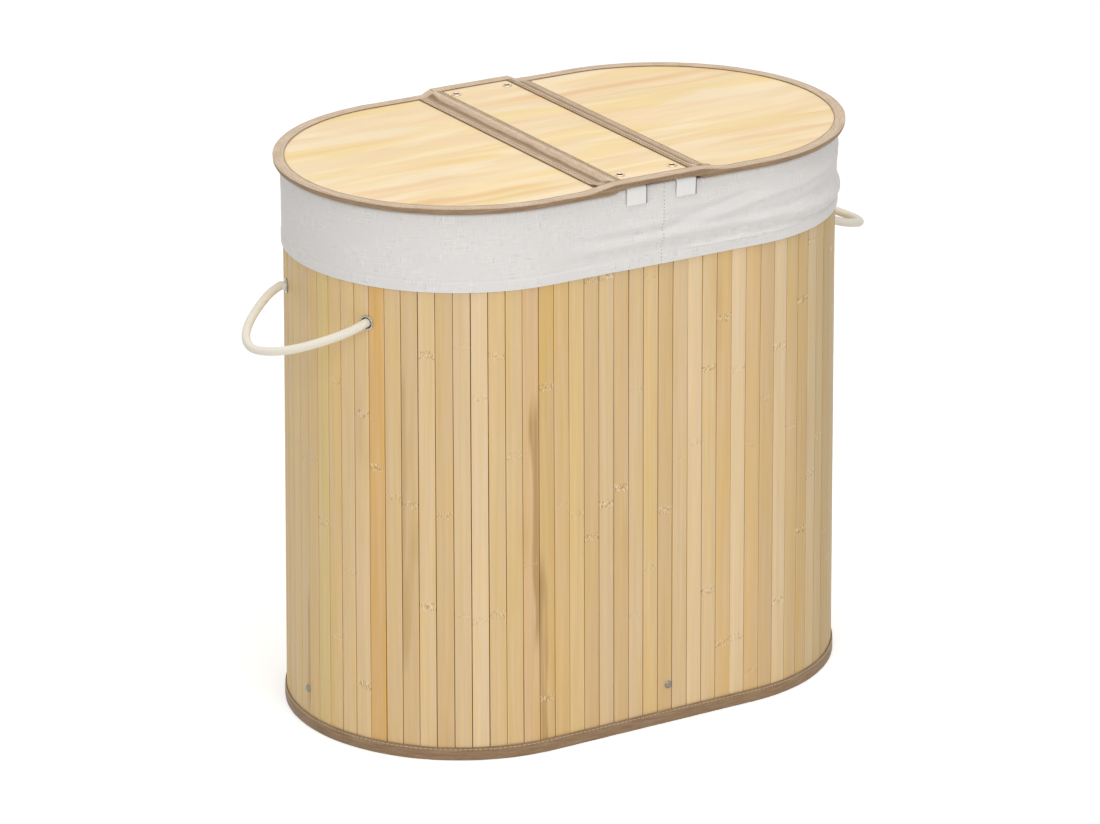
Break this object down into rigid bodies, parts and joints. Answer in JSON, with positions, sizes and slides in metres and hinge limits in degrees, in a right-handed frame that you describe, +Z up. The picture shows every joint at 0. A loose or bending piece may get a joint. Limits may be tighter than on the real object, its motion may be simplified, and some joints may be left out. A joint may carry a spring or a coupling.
{
  "type": "laundry hamper",
  "caption": "Long oval laundry hamper with a bamboo slat wall, a cotton liner that makes two bins, hinged lids on a fixed centre band and rope handles.",
  "frame": {"origin": "on the floor, under the middle of the hamper", "axes": "+X along the long oval towards the right bin, -Y towards the front, +Z up"},
  "size_m": [0.7604, 0.38, 0.6],
  "materials": {
    "bamboo_slat": "flat bamboo slats, lightly lacquered, satin",
    "bamboo_board": "thin bamboo veneer board, satin",
    "binding_tape": "woven brown binding tape",
    "liner_cotton": "slubby white cotton",
    "white_webbing": "white webbing",
    "cotton_rope": "soft cream cotton rope",
    "dark_rivet": "dull nickel rivet",
    "steel_eyelet": "plain steel eyelet",
    "board_cloth": "stiff board and tabs covered in cloth"
  },
  "bodies": {
    "hamper_body": {"base_binding": "binding_tape", "base_board": "board_cloth", "rim_binding": "binding_tape", "liner_cuff": "liner_cotton", "liner_divider": "liner_cotton", "band_panel": "bamboo_board", "slat_wall_front": "bamboo_slat", "slat_wall_left": "bamboo_slat", "slat_wall_back": "bamboo_slat", "slat_wall_right": "bamboo_slat", "base_tab_front": "board_cloth", "base_tab_left": "board_cloth", "base_tab_back": "board_cloth", "base_tab_right": "board_cloth", "base_rivet_front": "dark_rivet", "base_rivet_left": "dark_rivet", "base_rivet_back": "dark_rivet", "base_rivet_right": "dark_rivet", "eyelet_left_front": "steel_eyelet", "eyelet_left_back": "steel_eyelet", "eyelet_right_back": "steel_eyelet", "eyelet_right_front": "steel_eyelet", "rope_knot_left_front": "cotton_rope", "rope_knot_left_back": "cotton_rope", "rope_knot_right_back": "cotton_rope", "rope_knot_right_front": "cotton_rope", "liner_bag_left": "liner_cotton", "liner_bag_right": "liner_cotton", "hinge_tape_left_on_band": "binding_tape", "hinge_tape_right_on_band": "binding_tape", "band_binding_front": "binding_tape", "band_binding_back": "binding_tape", "band_rivet_front_left": "dark_rivet", "band_rivet_front_right": "dark_rivet", "band_rivet_back_right": "dark_rivet", "band_rivet_back_left": "dark_rivet", "band_strap_front_left": "white_webbing", "band_strap_front_right": "white_webbing", "band_strap_back_right": "white_webbing", "band_strap_back_left": "white_webbing"},
    "left_lid": {"lid_panel_left": "bamboo_board", "lid_binding_left": "binding_tape", "hinge_tape_left_on_lid": "binding_tape"},
    "right_lid": {"lid_panel_right": "bamboo_board", "lid_binding_right": "binding_tape", "hinge_tape_right_on_lid": "binding_tape"},
    "left_handle": {"rope_handle_left": "cotton_rope"},
    "right_handle": {"rope_handle_right": "cotton_rope"}
  },
  "joints": [
    {"name": "left_lid_hinge", "type": "hinge", "parent": "hamper_body", "child": "left_lid", "pos_m": [-0.0505, 0, 0.5953], "axis": [0, 1, 0], "range_deg": [0, 100]},
    {"name": "right_lid_hinge", "type": "hinge", "parent": "hamper_body", "child": "right_lid", "pos_m": [0.0505, 0, 0.5953], "axis": [0, -1, 0], "range_deg": [0, 100]},
    {"name": "left_handle_swing", "type": "hinge", "parent": "hamper_body", "child": "left_handle", "pos_m": [-0.29427, -0.01618, 0.4645], "axis": [-0.0938, 0.9956, 0], "range_deg": [0, 90]},
    {"name": "right_handle_swing", "type": "hinge", "parent": "hamper_body", "child": "right_handle", "pos_m": [0.29427, 0.01618, 0.4645], "axis": [0.0938, -0.9956, 0], "range_deg": [0, 90]}
  ]
}
